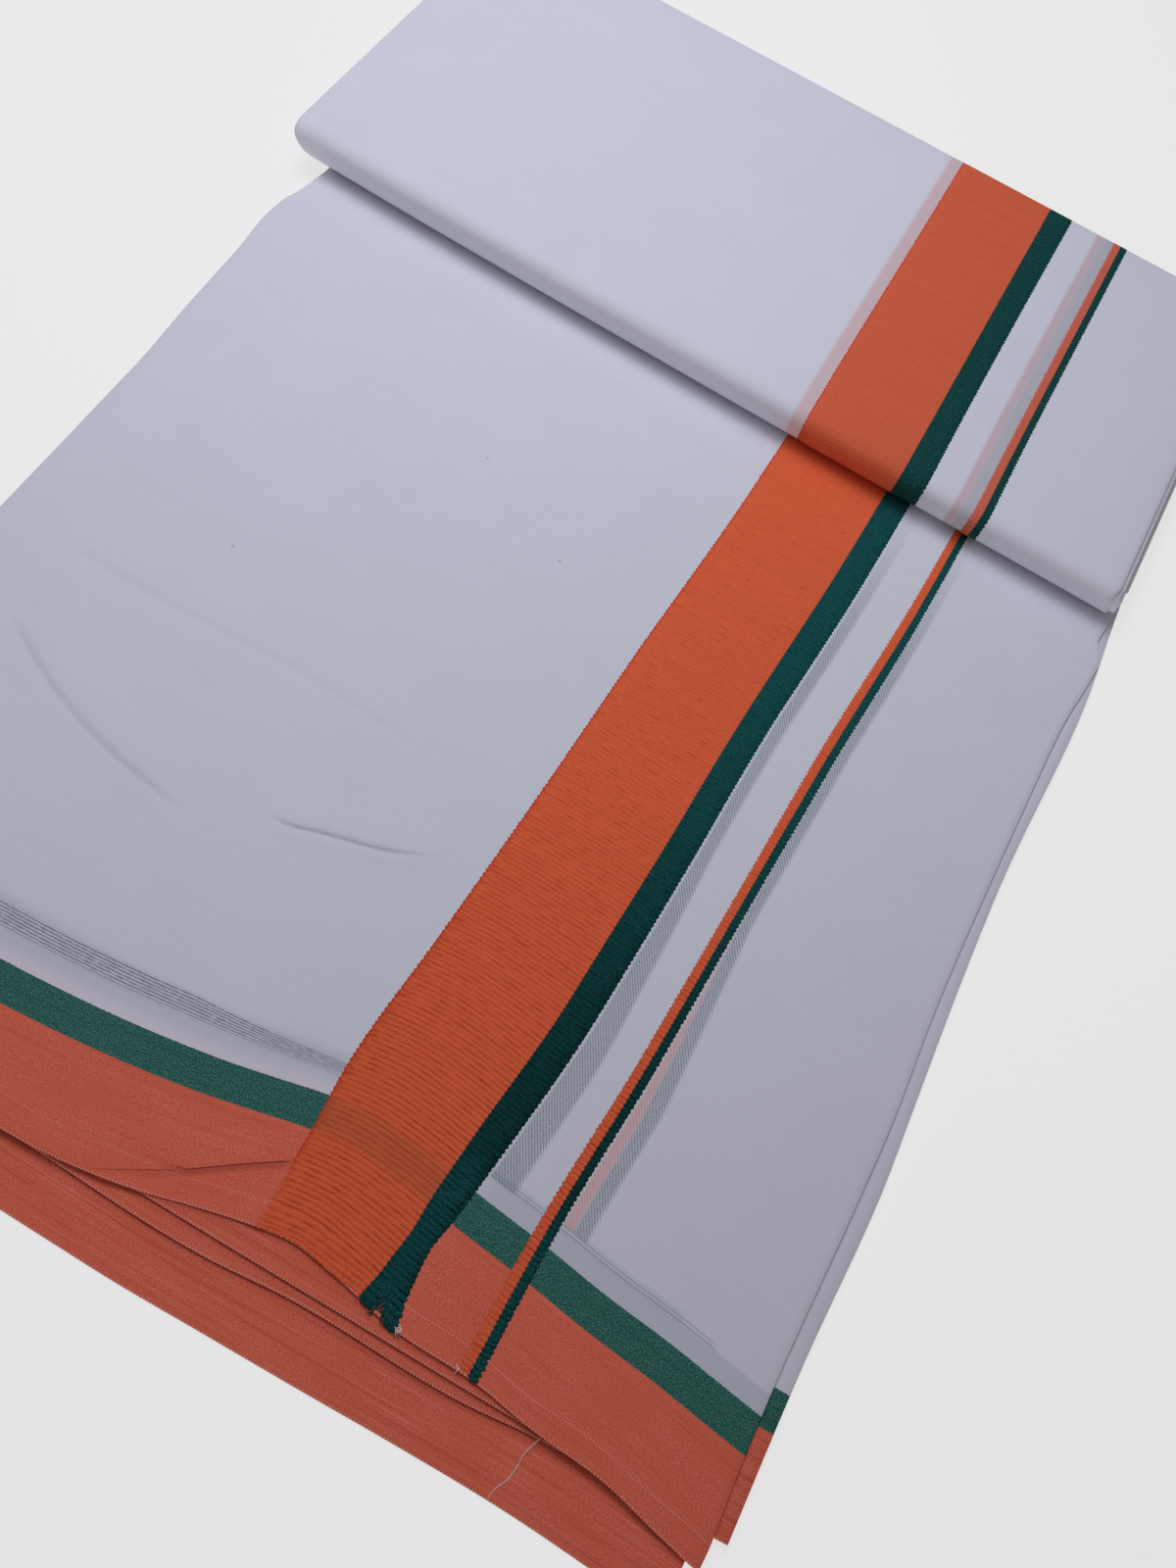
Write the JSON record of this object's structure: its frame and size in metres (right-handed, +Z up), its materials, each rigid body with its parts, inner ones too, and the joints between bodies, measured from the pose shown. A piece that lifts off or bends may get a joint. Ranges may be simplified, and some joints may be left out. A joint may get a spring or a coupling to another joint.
{
  "type": "folded dhoti cloth",
  "caption": "Folded white cotton dhoti with a bundle at the far end, woven orange and green bands and a striped selvedge border.",
  "frame": {"origin": "centre of the bounding box, on the surface that the pack lies on", "axes": "+Z up from the table; +Y from the front selvedges to the far fold, the pack's longest way; +X along the cloth's length, to the right"},
  "size_m": [0.4659, 0.659, 0.0244],
  "materials": {
    "white_cotton": "plain-woven white cotton mulmul, matt and slightly sheer, with woven orange and green rep bands",
    "border_cotton": "plain-woven cotton selvedge border, heathered orange with a green stripe inside it"
  },
  "bodies": {
    "root": {"top_leaf": "white_cotton", "second_leaf": "border_cotton", "third_leaf": "border_cotton", "bottom_leaf": "border_cotton", "bundle_wrap": "white_cotton", "bundle_core": "white_cotton"}
  },
  "joints": []
}
